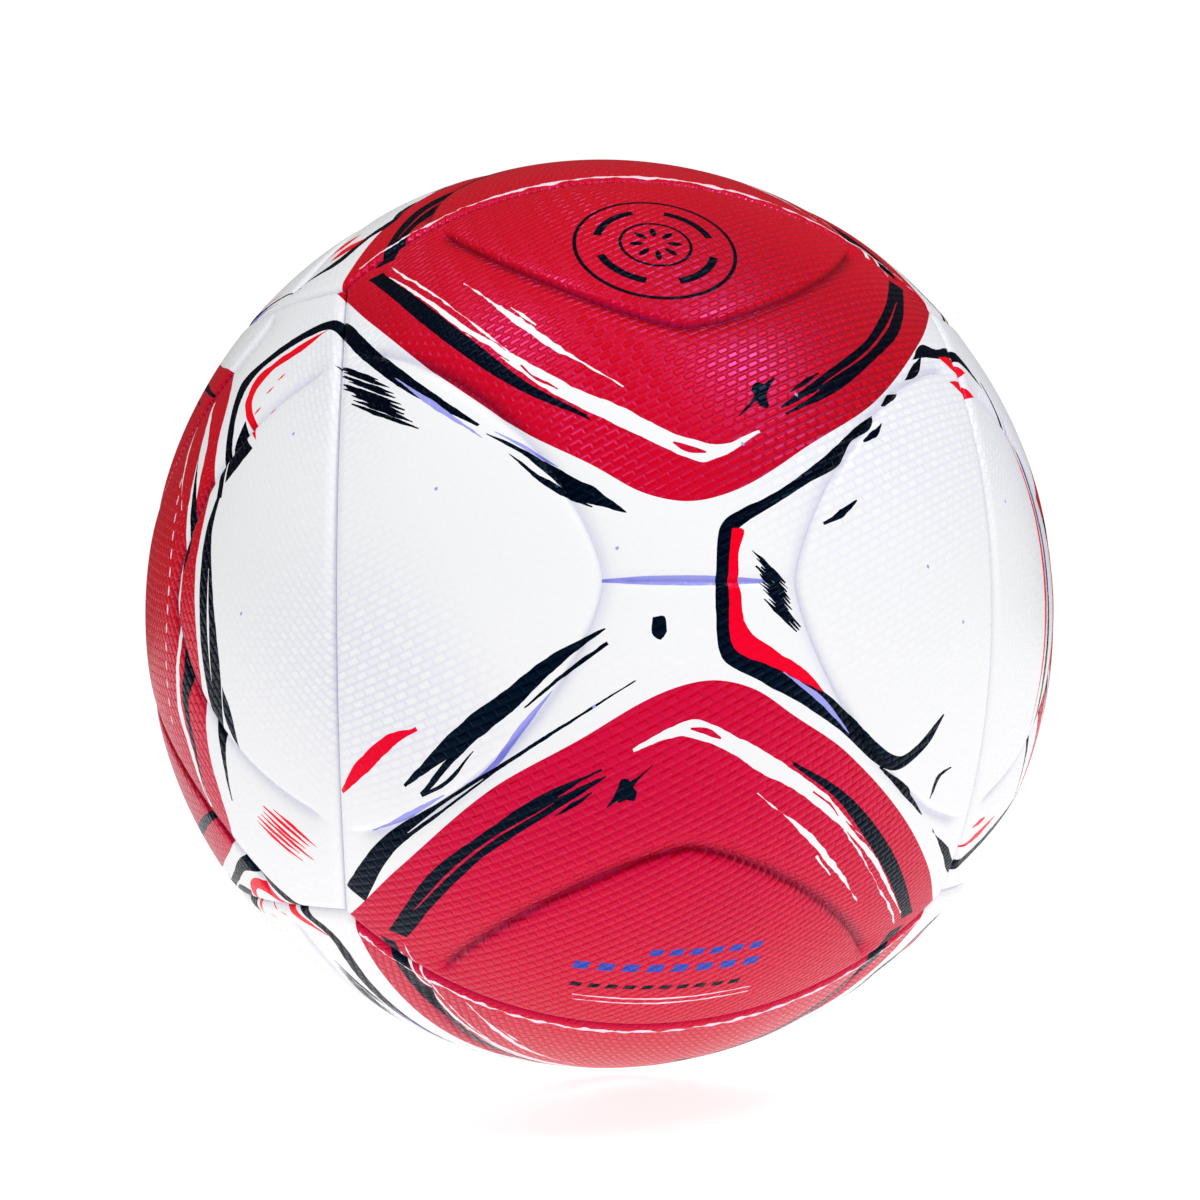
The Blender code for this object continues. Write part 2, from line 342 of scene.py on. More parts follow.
def fill(pod, colour, *runs, rough=0.0):
    """A closed shape. Each run is smooth, and runs meet in corners."""
    outline = np.vstack([spline(run)[:-1] if len(run) > 2 else spline(run) for run in runs])
    prints.append((colour, pod.directions(roughened(outline, rough))))


def band(pod, colour, one_edge, other_edge, rough):
    """The shape between two edges, without the points that fall together."""
    outline = np.vstack([one_edge, other_edge[::-1]])
    keep = np.linalg.norm(outline - np.roll(outline, 1, axis=0), axis=1) > LEAST_STEP
    prints.append((colour, pod.directions(roughened(outline[keep], rough))))


def ribbon(pod, colour, outer, inner, rough=0.0):
    """The shape between two smooth edges that run the same way."""
    band(pod, colour, spline(outer), spline(inner), rough)


def brush(pod, colour, points, widths, rough=0.05):
    """A stroke along a smooth line. widths are half widths in degrees, evenly spread along it."""
    line = spline(points)
    along = np.gradient(line, axis=0)
    across = unit(np.stack([-along[:, 1], along[:, 0]], -1))
    stops = np.linspace(0, 1, len(widths))
    half = np.interp(np.linspace(0, 1, len(line)), stops, widths)[:, None]
    band(pod, colour, line + half * across, line - half * across, rough)


def pens(pod, *colours):
    """One brush for each colour."""
    return [partial(brush, pod, colour) for colour in colours]


def blot(pod, colour, x, y, radius):
    """A small uneven splash."""
    angles = np.linspace(0, 2 * math.pi, 10)
    reach = radius * np.tile((1.0, 0.72, 0.9), 4)[: len(angles)] * chance.uniform(0.75, 1.25, len(angles))
    reach[-1] = reach[0]
    outline = np.stack([x + 0.8 * reach * np.cos(angles), y + reach * np.sin(angles)], -1)
    fill(pod, colour, outline)


def shade_specks(pod, places):
    """Tiny marks of painted shade."""
    for x, y in places:
        fill(pod, "lilac_shade", [(x, y), (x + 0.3, y + 0.14)], [(x + 0.36, y - 0.16), (x + 0.06, y - 0.3)])


def hatch(pod, colour, start, end, depth, count, width=0.3):
    """Close parallel scribbles from the line start-end, each running by depth."""
    start, end, depth = (np.asarray(p, float) for p in (start, end, depth))
    for index in range(count):
        middle = start + (end - start) * (index + 0.5) / count
        reach = depth * chance.uniform(0.75, 1.15)
        shift = depth * chance.uniform(-0.12, 0.12)
        sway = (end - start) / count * chance.uniform(-0.3, 0.3)
        points = [middle + shift - reach / 2, middle + sway, middle + shift + reach / 2]
        brush(pod, colour, points, (0.05, width, width, 0.05), rough=0.06)


def ring(pod, colour, x, y, radius, half_width, start=0, end=360):
    """A ring, or an arc of one, drawn as one or two ribbons."""
    for first, last in ((start, (start + end) / 2), ((start + end) / 2, end)):
        angles = np.radians(np.linspace(first, last, 25))
        circle = np.stack([np.cos(angles), np.sin(angles)], -1)
        outer = (x, y) + (radius + half_width) * circle
        inner = (x, y) + (radius - half_width) * circle
        ribbon(pod, colour, outer, inner)


# ---------------------------------------------------------------- prints: the designs


def red_rhombus(pod):
    """The red area astride a seam: rounded corners in the panels, sharp ones at the seam's ends."""
    half = [(-34.9, 0), (-29.2, 11), (-20.7, 23), (-11, 30.8), (-4.7, 35), (0.7, 36.6), (5.5, 35.7)]
    half += [(10, 32.8), (16.6, 28), (24.5, 19.2), (31, 8.8), (34.9, 0)]
    other = [(-x, -y) for x, y in half]
    fill(pod, "red", half, other)
    for side in (pod, pod.turned()):
        painted_streak(side)
        double_stripe(side)


def painted_streak(side):
    """Navy and white streaks along one side, with a curl at the rounded corner."""
    red, white = pens(side, "red", "white")
    ribbon(
        side, "navy", [(10, 28.2), (16, 24.2), (20.9, 19), (25.7, 11.8), (31, 1)],
        [(10.4, 27.5), (15.2, 23.6), (18.2, 20), (23.4, 12.2), (28.4, 3), (29.2, 1)], rough=0.03,
    )
    ribbon(
        side, "white",
        [(-6.6, 29.6), (-3, 32), (-0.5, 32.8), (1.6, 32.2), (3.6, 31.2), (7.2, 29.2), (12.6, 25.4),
         (15.4, 22.8), (18.1, 19.5), (21.4, 15.2), (24.6, 9.8), (28.6, 2.6)],
        [(-6.5, 29.4), (-2.4, 31.1), (0.6, 30.6), (2.2, 30), (4.3, 28.9), (6.9, 27.1), (10.9, 24.8),
         (14.4, 21.8), (17.4, 18.9), (20.9, 14.8), (24.3, 9.5), (28.5, 2.5)], rough=0.09,
    )
    red([(-0.9, 31.9), (0.8, 31.6), (2.3, 30.9)], (0.1, 0.3, 0.34, 0.1))
    red([(12.9, 24.4), (15, 22.6), (16.2, 21)], (0.05, 0.12, 0.05), 0.1)
    red([(17.2, 20.2), (19.2, 17.9), (21.6, 14.9)], (0.05, 0.16, 0.05), 0.12)
    white(
        [(17.2, 19.2), (20.4, 14.4), (24.3, 8), (27.2, 3), (28.2, 0.6)],
        (0.04, 0.1, 0.05, 0.1, 0.16, 0.06), 0.14,
    )
    white(
        [(6.6, 25), (12.4, 19.9), (15, 16.8), (18.2, 12.4), (20.8, 8.4)],
        (0.04, 0.1, 0.34, 0.4, 0.14, 0.04), 0.16,
    )
    white([(14.2, 16.6), (16.4, 13.6)], (0.05, 0.14, 0.05), 0.1)


def double_stripe(side):
    """The navy stripe along the other side, split by a red hair line, and its blot."""
    red, navy = pens(side, "red", "navy")
    ribbon(
        side, "navy", [(-30.1, 0.6), (-26, 11.4), (-20.7, 18.4), (-15.5, 23.7), (-9.6, 27.4)],
        [(-27.9, 0.6), (-25, 7.8), (-21, 14.8), (-18.4, 17.9), (-14, 22.2), (-9, 26.6)], rough=0.04,
    )
    red([(-27.4, 5.4), (-23.9, 12.2), (-19.8, 17.8), (-14, 23.2)], (0.03, 0.15, 0.12, 0.03), 0.02)
    red([(-13.6, 23.9), (-11, 25.9), (-8.6, 27.4)], (0.05, 0.2, 0.34), 0.1)
    navy([(-13.8, 21.8), (-10.3, 24.8)], (0.08, 0.28, 0.05), 0.1)
    blot(side, "navy", -7, 25.3, 1.5)
    navy([(-7, 25.4), (-5.9, 26.6), (-4.5, 28.1)], (0.5, 0.12, 0.06), 0.08)
    navy([(-7.3, 25.2), (-8.7, 23.4)], (0.45, 0.06), 0.08)


def emblem(pod):
    """A plain ring with broken arcs, where the real ball has its maker's print."""
    x, y = 1.1, 6.4
    ring(pod, "navy", x, y, 8.2, 0.2)
    for start in (15, 105, 195, 285):
        ring(pod, "navy", x, y, 6.0, 0.42, start, start + 58)
    ring(pod, "navy", x, y, 3.6, 0.17)
    for angle in range(0, 360, 45):
        turn = math.radians(angle)
        near = (x + 1.2 * math.cos(turn), y + 1.2 * math.sin(turn))
        far = (x + 2.7 * math.cos(turn), y + 2.7 * math.sin(turn))
        brush(pod, "navy", [near, far], (0.12, 0.42, 0.12), rough=0)


def bars(pod):
    """Plain dashes in three rows, where the real ball has words."""
    for row, (y, half, start, end, pitch) in enumerate(
        ((5.6, 0.5, -2.5, 10.4, 2.15), (3.1, 0.62, -10.2, 10.4, 2.6), (-0.2, 0.36, -10.2, 8.4, 1.9))
    ):
        for x in np.arange(start, end, pitch):
            left = [(x, y - half), (x + 0.35, y + half)]
            right = [(x + pitch * 0.62 + 0.35, y + half), (x + pitch * 0.62, y - half)]
            fill(pod, "blue" if row < 2 else "navy", left, right)
    for y in (-2.2, -3.1):
        brush(
            pod, "paleline", [(-9.6, y), (0, y - 0.2), (9.8, y + 0.4)], (0.05, 0.12, 0.06), rough=0.07,
        )


def red_square(pod):
    """The red area inside a side panel: straight ragged sides, rounded corners."""
    corner = [(31.8, 4), (32.4, 11), (30.8, 18.5), (28.9, 23.9), (25.6, 27.4), (17.8, 29.6), (8.5, 31.8)]
    outline = []
    for turn in range(4):
        for x, y in corner:
            for _ in range(turn):
                x, y = -y, x
            outline.append((x, y))
    fill(pod, "red", outline + outline[:1], rough=0.05)
    for side in (pod, pod.turned()):
        ribbon(
            side, "white",
            [(24.6, 23.8), (28.4, 17.6), (29.1, 11.8), (28.6, 5.3), (28, 0), (27, -5.8), (25.3, -12.2),
             (25.4, -17.1), (24, -24)],
            [(24.3, 23.6), (26.6, 17.8), (27.4, 12), (27.9, 4), (27.4, 0), (26.3, -5.7), (24.1, -12.2),
             (24.3, -17.1), (23.4, -24)], rough=0.12,
        )
        fill(
            side, "navy", [(26.4, 18), (27.6, 13.9), (28.4, 9.2), (28.4, 3)],
            [(28.4, 3), (29.9, 5.6), (29.2, 11), (26.4, 18)], rough=0.08,
        )
        fill(
            side, "navy", [(28, -2.6), (29.7, -8), (27.4, -12), (26.2, -17.6), (22.6, -25.4)],
            [(22.6, -25.4), (25.4, -18), (26.2, -11), (27.6, -7.4), (28, -2.6)], rough=0.06,
        )
        brush(
            side, "white", [(21.4, 21), (23.4, 15), (25.8, 10.4)], (0.05, 0.25, 0.15, 0.04), rough=0.15,
        )
        ribbon(
            side, "navy",
            [(-22, -25.2), (-13, -28.1), (-4, -29.2), (5.5, -28.8), (13, -27.8), (22.4, -25.6)],
            [(-21.6, -24.9), (-13, -27.1), (-4, -28), (5.2, -27.6), (13, -26.4), (21.9, -24.6)],
            rough=0.05,
        )
        brush(side, "navy", [(-17, -24.5), (-8, -26.6), (2, -27)], (0.05, 0.22, 0.05), rough=0.08)
        for y in np.arange(-14, 14.5, 2.1):
            bow = 3 * (1 - math.cos(math.radians(6 * (y - 4))))
            brush(side, "paleline", [(24.4 - bow, y), (24.5 - bow, y + 1.1)], (0.1, 0.2, 0.1))


def white_design_one(pod):
    """Brush work of the white areas with the corner bracket. x runs towards a panel's centre."""
    # The lilac_shade strokes are painted shade of grooves.
    navy, lilac_shade, white, scarlet = pens(pod, "navy", "lilac_shade", "white", "scarlet")
    ribbon(
        pod, "navy",
        [(-19.8, 10.6), (-20.3, 17.2), (-21, 23), (-20.6, 25.2), (-16.8, 27.4), (-12.2, 29.4),
         (-7.9, 30.3), (-5.2, 29.4), (-0.5, 25.6), (4.6, 21.7), (8.7, 18.8), (13.4, 15.6)],
        [(-18.8, 10.6), (-19.2, 17.6), (-19.5, 22.4), (-18.3, 25.1), (-15, 27), (-10.1, 28.7),
         (-7.4, 28.9), (-5.1, 27.3), (-1.6, 24.3), (1.9, 21.7), (6.2, 18.9), (13.2, 15.4)], rough=0.05,
    )
    lilac_shade([(3.4, 21.3), (8.4, 17.8), (13.8, 14.2)], (0.05, 0.35, 0.05), 0.08)
    fill(
        pod, "scarlet",
        [(-7.7, 29), (-11, 27.9), (-14.8, 26.3), (-17.8, 24.6), (-18.2, 21.4), (-16, 18),
         (-14.2, 16.4)],
        [(-14.2, 16.4), (-15.4, 18.6), (-17, 21.4), (-16.7, 23.3), (-14.8, 25.1), (-11, 26.7),
         (-7.7, 29)], rough=0.1,
    )
    for x, y in ((-12.4, 24.2), (-13.8, 22.8), (-15.2, 20.6), (-13, 20.2)):
        scarlet([(x, y), (x - 0.9, y - 0.7)], (0.05, 0.14, 0.05))
    fill(
        pod, "navy", [(-17.4, 19.4), (-18.7, 16.3), (-18.6, 12.2)],
        [(-18.6, 12.2), (-16.6, 13.8), (-14.6, 15.6)], [(-14.6, 15.6), (-16.2, 17), (-17.4, 19.4)],
        rough=0.05,
    )
    hatch(pod, "navy", (-1.8, 22.8), (2.9, 16.9), (7.4, -3.0), 9, 0.23)
    navy([(-2.4, 21), (2.8, 18.2)], (0.1, 0.5, 0.1), 0.1)
    # the long side, by the red area
    ribbon(
        pod, "navy",
        [(-19.7, 11), (-21.2, 7), (-21.7, 1), (-21.7, -6), (-21.3, -11), (-20.9, -17), (-21.2, -22.6)],
        [(-19, 11), (-19.8, 7), (-18.9, 0.2), (-18.2, -6.6), (-18.6, -11), (-19.8, -16), (-21, -22.6)],
        rough=0.06,
    )
    white([(-19.9, 3), (-20, -3), (-20.2, -9)], (0.03, 0.22, 0.03), 0.03)
    fill(
        pod, "navy", [(-18.2, -9.5), (-18.6, -13), (-17.1, -16.6)],
        [(-17.1, -16.6), (-17.2, -12.5), (-18.2, -9.5)], rough=0.05,
    )
    # strokes towards the tip
    navy([(14.2, 14.6), (18.6, 12.3), (23.4, 9), (28, 6.6)], (0.06, 0.24, 0.6, 0.85, 0.06), 0.08)
    navy([(16.6, 12.5), (20.2, 9.7), (24.8, 7.2)], (0.05, 0.2, 0.4, 0.05), 0.08)
    lilac_shade([(15, 14.8), (18.6, 12.9), (21.4, 11.2)], (0.04, 0.2, 0.04), 0.03)
    navy(
        [(26, -4.6), (21.1, -7.6), (16.2, -11.5), (10.5, -15.4), (4.8, -19.6)],
        (0.08, 0.6, 0.95, 1.1, 0.7, 0.15), 0.07,
    )
    navy([(26.2, -6), (22.2, -8.8), (18, -12)], (0.2, 0.22, 0.1), 0.08)
    navy([(14, -14), (9.8, -17.3), (7.4, -19.7), (6.4, -20.5)], (0.1, 0.3, 0.36, 0.2))
    navy([(6.4, -20.6), (9.4, -19.2), (12.6, -16.1)], (0.2, 0.22, 0.04))
    lilac_shade([(20.8, -10.4), (17.4, -14.2), (14, -18), (10.8, -20)], (0.04, 0.35, 0.3, 0.04))
    navy(
        [(28.6, -9.7), (22.2, -13.5), (15.7, -17.4), (8.1, -22), (1, -26.3), (-5.2, -32.4)],
        (0.07, 0.15, 0.2, 0.55, 0.95, 1.3), 0.04,
    )
    white([(13, -19.1), (8.1, -22.1), (3.8, -24.8)], (0.03, 0.16, 0.03), 0.02)
    lilac_shade([(-0.6, -24.8), (3.2, -23.4), (8.8, -20.6)], (0.05, 0.4, 0.05), 0.06)
    scarlet([(-2.8, -20.4), (0.8, -17.3), (4, -15), (7.1, -13.8)], (0.2, 0.75, 0.75, 0.2), 0.11)
    fill(
        pod, "navy", [(30.4, -3.6), (31.5, -3.5), (31.7, -5)],
        [(31.7, -5), (31.1, -5.8), (30.3, -5.2), (30.4, -3.6)],
    )
    hatch(pod, "scarlet", (-14.2, -27.2), (-11.2, -24.4), (6.6, -5), 6, 0.24)
    shade_specks(pod, ((-14, -2), (9.5, 9.2), (24.4, -12), (-8.5, 16.4), (27, 3.2)))


def white_design_two(pod):
    """Brush work of the white areas with the arrow band. x runs towards a panel's centre."""
    # The lilac_shade strokes are painted shade of grooves.
    navy, lilac_shade, scarlet = pens(pod, "navy", "lilac_shade", "scarlet")
    ribbon(
        pod, "navy",
        [(13.8, 17.9), (16.2, 16.6), (22.4, 12.2), (27.7, 8.8), (32.4, 6.5), (33.6, 5), (34.1, 0),
         (34.1, -3), (33.3, -7.6), (29.9, -9.6), (24.4, -12.2), (19.8, -14.7), (15, -17.8),
         (11.6, -18.9), (8, -16.2), (6.3, -13)],
        [(13.9, 17.7), (15.2, 16), (17.6, 14.7), (19.8, 12), (23.3, 10.2), (27.3, 7.9), (31.4, 5.4),
         (32.3, 4.2), (32.7, 0), (32.6, -3), (32.1, -6.4), (29.8, -7.4), (23.4, -10.2), (19.2, -12.8),
         (14.2, -16.4), (11, -17.2), (6.5, -12.9)], rough=0.04,
    )
    fill(
        pod, "scarlet", [(32.3, 5.2), (32.8, 2), (32.8, -2), (32.2, -6.6), (28.2, -8.4), (22, -11)],
        [(22, -11), (24.9, -8.5), (27.6, -7), (31, -4.6), (31.7, -1.3), (31.8, 2.6), (31.2, 5),
         (32.3, 5.2)], rough=0.08,
    )
    hatch(pod, "navy", (28.9, 1.8), (27.3, -3.8), (-3.6, -3.2), 10, 0.2)
    lilac_shade([(18.6, -15), (22.6, -11.6), (27, -8.9)], (0.05, 0.35, 0.05), 0.06)
    navy([(22.7, 5.8), (20.9, 6.7), (18.6, 8.3)], (0.12, 0.42, 0.1), 0.1)
    navy([(12, 19.1), (10.7, 20.1), (9.3, 20.8)], (0.15, 0.4, 0.1), 0.1)
    navy([(16.4, 14.6), (14.6, 15.6), (13.4, 16.8)], (0.1, 0.4, 0.08), 0.1)
    navy([(13.6, -18.6), (9.6, -20.9), (5.1, -24.1)], (0.1, 0.5, 0.1))
    navy([(3, -18.7), (4.7, -19.6), (5, -22.2)], (0.06, 0.34, 0.06), 0.12)
    fill(
        pod, "navy", [(4.6, 25.4), (1.6, 27.8), (-1.4, 27.8), (-6.4, 28.6), (-10.8, 24.4)],
        [(-10.8, 24.4), (-6.2, 27), (-1.6, 26.6), (1.6, 26.2), (4.6, 25.4)], rough=0.08,
    )
    fill(
        pod, "navy", [(7.2, 22.6), (5, 24.6), (2.2, 26.4)], [(2.2, 26.4), (4.2, 23.8), (7.2, 22.6)],
        rough=0.08,
    )
    fill(
        pod, "scarlet", [(-1.4, 26.8), (-3.8, 27), (-6.6, 25.6)],
        [(-6.6, 25.6), (-4.2, 24.8), (-1.4, 26.8)], rough=0.1,
    )
    fill(
        pod, "scarlet", [(-1, 23.4), (-3.8, 23.8), (-6, 22.2)], [(-6, 22.2), (-3.2, 22), (-1, 23.4)],
        rough=0.1,
    )
    ribbon(
        pod, "navy",
        [(2.4, -25.8), (-2, -29.4), (-6.5, -32.3), (-10.6, -30.2), (-14.8, -27.9), (-23, -23.8)],
        [(2.2, -26.2), (-2, -28.2), (-6.3, -30.7), (-10.6, -29), (-14.6, -26.9), (-22.8, -23.5)],
        rough=0.06,
    )
    scarlet([(-5.6, -29.1), (-9.2, -27.6), (-12.8, -25.6)], (0.08, 0.5, 0.1), 0.12)
    scarlet([(-6.6, -26.4), (-9.4, -25.5)], (0.08, 0.4, 0.1), 0.12)
    navy(
        [(-11, 25.4), (-15.2, 17), (-17.6, 8), (-18.7, -1), (-18.8, -10), (-18.6, -19), (-20.4, -24)],
        (0.12, 0.3, 0.6, 0.35, 0.7, 0.4, 0.1), 0.07,
    )
    scarlet(
        [(-12.6, 19.8), (-15.6, 11), (-16.8, 2), (-16.9, -7), (-16.2, -15)],
        (0.05, 0.35, 0.5, 0.4, 0.05), 0.09,
    )
    lilac_shade([(-14, 22), (-16.8, 13), (-17.8, 3), (-17.8, -6)], (0.04, 0.2, 0.25, 0.04))
    shade_specks(pod, ((30, 14), (10, 2), (4.6, -3.4), (-6, 10), (23, 19.5)))


def seam_highlight(pod, axes, side, start, end):
    """A painted highlight: the pale, frayed line beside a seam, as a glint on the panel's rolled
    shoulder. side is the sign along the panel's outward axis.
    """
    t = np.linspace(start, end, 40)
    normal, across, along = seam_point(t, SEAM_BULGE).T
    points = normal[:, None] * axes[0] + side * across[:, None] * axes[2] + along[:, None] * axes[1]
    middle = unit(axes[0] + side * axes[2])
    shift = SEAM_HIGHLIGHT_SHIFT * unit(np.cross(axes[1], middle)) * np.sign(
        np.dot(np.cross(axes[1], middle), side * axes[2] - axes[0])
    )
    line = pod.local(unit(points + shift))
    brush(pod, "paleline", line[::3], (0.05, 0.2, 0.26, 0.2, 0.05), rough=0.34)


def draw_prints():
    """Every print of the ball, the lowest layer first."""
    for normal, inward, _ in PANELS.values():
        crease = Pod(normal, inward)
        ends = [(0, -BAR_REACH), (0, BAR_SHADE_END)]
        # A line of painted shade along each panel's bar groove.
        brush(crease, "lilac_shade", ends, (0.15, 0.42, 0.5, 0.42, 0.15), rough=0.02)
    rhombi = {}
    for y, z in ((-1, -1), (-1, 1), (1, -1), (1, 1)):
        pod = Pod((RHOMBUS_DRIFT, y, z), (0, y, 0), 1 + RHOMBUS_STRETCH * z * (y < 0))
        rhombi[y, z] = pod
        red_rhombus(pod)
    emblem(rhombi[-1, 1])
    emblem(rhombi[1, -1])
    bars(rhombi[-1, -1])
    bars(rhombi[1, 1])
    axes = panel_axes("front")
    # Painted highlights beside the seams.
    seam_highlight(rhombi[-1, -1], axes, -1, -SEAM_HIGHLIGHT_REACH, SEAM_HIGHLIGHT_REACH)
    seam_highlight(rhombi[-1, 1], axes, 1, -SEAM_HIGHLIGHT_REACH, SEAM_HIGHLIGHT_REACH)
    axes = panel_axes("back")
    seam_highlight(rhombi[1, -1], axes, -1, -SEAM_HIGHLIGHT_REACH, 0.6)
    seam_highlight(rhombi[1, 1], axes, 1, -0.5, SEAM_HIGHLIGHT_REACH)
    for x in (-1, 1):
        red_square(Pod((x, 0, 0), (0, 0, 1)))
    for x in (-1, 1):
        for pole in ((0, -1, 0), (0, 1, 0), (0, 0, -1), (0, 0, 1)):
            first = x * sum(pole) > 0
            pod = white_pod((x * WHITE_LEAN, *pole[1:]), pole, first)
            (white_design_one if first else white_design_two)(pod)


def white_pod(centre, pole, right_handed):
    """The frame of a white area: x towards the panel centre at its tip, mirrored where left-handed."""
    pod = Pod(centre, pole)
    pod.ex = unit(np.asarray(pole, float) - pod.centre * (pod.centre @ np.asarray(pole, float)))
    pod.ey = np.cross(pod.centre, pod.ex) * (1 if right_handed else -1)
    return pod


# ---------------------------------------------------------------- meshing the panels


def panel_axes(name):
    return tuple(np.array(axis, float) for axis in PANELS[name])


def lattice_stops():
    """The lattice's lines from -1 to 1, closer together by the seams."""
    rim = 1 - np.array(RIM_ROWS)
    middle = np.linspace(-LATTICE_EDGE, LATTICE_EDGE, LATTICE_CELLS)
    return np.concatenate([-rim, middle, rim[::-1]]) * (1 - RIM_GAP)


def clipped(outline, normal):
    """The part of a closed outline in front of a panel's horizon."""
    height = outline @ normal - HORIZON
    if (height > 0).all():
        return outline
    kept = []
    for here, there, a, b in zip(outline, np.roll(outline, -1, axis=0), height, np.roll(height, -1)):
        if a > 0:
            kept.append(here)
        if (a > 0) != (b > 0):
            kept.append(here + (there - here) * a / (a - b))
    return np.array(kept).reshape(-1, 3)


def turned_left(points):
    """The outline in anticlockwise order."""
    x, y = points.T
    area = np.sum(x * np.roll(y, -1) - y * np.roll(x, -1))
    return points if area > 0 else points[::-1]


def panel_prints(axes, reach):
    """(colour index, outline in the panel's plane) of each print that touches the panel."""
    normal, inward, outward = axes
    found = []
    for colour, outline in prints:
        seen = clipped(outline, normal)
        if len(seen) < 3:
            continue
        depth = (seen @ normal)[:, None]
        flat = np.stack([seen @ inward, seen @ outward], -1) / depth
        if (np.abs(flat).min(axis=0) > reach).any():
            continue
        found.append((PRINT_AND_SHADE_COLOURS.index(colour), turned_left(flat)))
    return found


def cell_keys(points, size):
    """One number for the small square cell that each point lies in."""
    cells = np.round(points / size).astype(np.int64)
    return cells[:, 0] * 1000003 + cells[:, 1]


def away_from(points, outlines, size):
    """Which points have no outline point in their own small cell or in one beside it."""
    taken = []
    for x in (-1, 0, 1):
        for y in (-1, 0, 1):
            taken.append(cell_keys(outlines + size * np.array([x, y]), size))
    return ~np.isin(cell_keys(points, size), np.concatenate(taken))


def boundary_loops(triangles):
    """The mesh's open edges, chained into loops."""
    edges = np.concatenate([triangles[:, [0, 1]], triangles[:, [1, 2]], triangles[:, [2, 0]]])
    span = edges.max() + 1
    open_ones = ~np.isin(edges[:, 0] * span + edges[:, 1], edges[:, 1] * span + edges[:, 0])
    following = dict(edges[open_ones].tolist())
    loops = []
    while following:
        start = next(iter(following))
        loop = [start]
        step = following.pop(start)
        while step != start:
            loop.append(step)
            step = following.pop(step)
        loops.append(loop)
    return loops


def enclosed(points, outline):
    """Which points an outline winds round."""
    order = np.argsort(points[:, 1], kind="stable")
    x, y = points[order].T
    turns = np.zeros(len(points), int)
    ends = np.roll(outline, -1, axis=0)
    lowest = np.searchsorted(y, np.minimum(outline[:, 1], ends[:, 1]))
    highest = np.searchsorted(y, np.maximum(outline[:, 1], ends[:, 1]))
    for (x0, y0), (x1, y1), first, last in zip(outline, ends, lowest, highest):
        left = (x1 - x0) * (y[first:last] - y0) - (x[first:last] - x0) * (y1 - y0)
        if y1 > y0:
            turns[first:last] += left > 0
        else:
            turns[first:last] -= left < 0
    found = np.zeros(len(points), bool)
    found[order] = turns != 0
    return found


def closed_edges(start, count):
    """The edges of a closed outline whose points are numbered from start."""
    ids = np.arange(start, start + count)
    return np.stack([ids, np.roll(ids, -1)], -1)


def triangulated(points, edges):
    """Triangles of the plane's points that keep the given edges: (points, triangles, centres)."""
    places, _, triangles, _, _, _ = delaunay_2d_cdt(
        [Vector(p) for p in points.tolist()], edges.tolist(), [], 0, 1e-7, False
    )
    places, triangles = np.array([tuple(p) for p in places]), np.array(triangles)
    a, b, c = (places[triangles[:, corner]] for corner in range(3))
    area = (b - a)[:, 0] * (c - a)[:, 1] - (b - a)[:, 1] * (c - a)[:, 0]
    triangles[area < 0] = triangles[area < 0][:, ::-1]
    return places, triangles, (a + b + c) / 3


def crease_lines(axes):
    """Lines in the panel's plane along its grooves and its middle crease, for the mesh to bend at."""
    normal, inward, outward = axes
    turn = np.linspace(0, 2 * math.pi, 360, endpoint=False)
    cos, sin = np.cos(turn), np.sin(turn)
    round_x = EYE_ACROSS * np.sign(cos) * np.abs(cos) ** (2 / EYE_POWER)
    round_y = EYE_ALONG * np.sign(sin) * np.abs(sin) ** (2 / EYE_POWER)
    slope_x = np.sign(cos) * np.abs(round_x) ** (EYE_POWER - 1) / EYE_ACROSS**EYE_POWER
    slope_y = np.sign(sin) * np.abs(round_y) ** (EYE_POWER - 1) / EYE_ALONG**EYE_POWER
    steep = np.hypot(slope_x, slope_y)
    lines = []
    for across, along, lean in ((inward, outward, -SEAM_BULGE), (outward, inward, SEAM_BULGE)):
        for row in GROOVE_ROWS:
            shift = math.degrees(row * MM / BALL_RADIUS)
            latitude = np.radians(round_y + shift * slope_y / steep)[:, None]
            off = np.radians(round_x + shift * slope_x / steep)[:, None]
            angle = math.pi / 4 + lean + off / np.cos(latitude)
            for side in (-1, 1):
                lines.append(
                    np.cos(latitude) * (np.cos(angle) * normal + side * np.sin(angle) * across)
                    + np.sin(latitude) * along
                )
    reach = np.radians(np.linspace(-BAR_REACH, BAR_REACH, 60))[:, None]
    for row in BAR_ROWS:
        aside = row * MM / BALL_RADIUS * outward
        lines.append(unit(np.cos(reach) * normal + np.sin(reach) * inward + aside))
    return lines


def panel_creases(name, axes):
    """(points in the panel's plane, which of them count) of each crease line."""
    found = []
    for line in crease_lines(axes):
        measures = seam_measures(line, axes)
        height = line @ axes[0]
        kept = (np.minimum(measures[0][0], measures[1][0]) > CREASE_END) & (height > CREASE_HORIZON)
        if name == "top":
            kept &= np.hypot(line[:, 0], line[:, 1]) > CREASE_CLEAR / BALL_RADIUS
        found.append((np.stack([line @ axes[1], line @ axes[2]], -1) / height[:, None], kept))
    return found


def valve_rings():
    """Circles round the hole for the valve, in the plane of the top panel."""
    turn = np.linspace(0, 2 * math.pi, HOLE_STEPS, endpoint=False)
    circle = np.stack([np.cos(turn), np.sin(turn)], -1)
    return [circle * math.tan(math.asin((COVER_HOLE + row * MM) / BALL_RADIUS)) for row in LIP_ROWS]


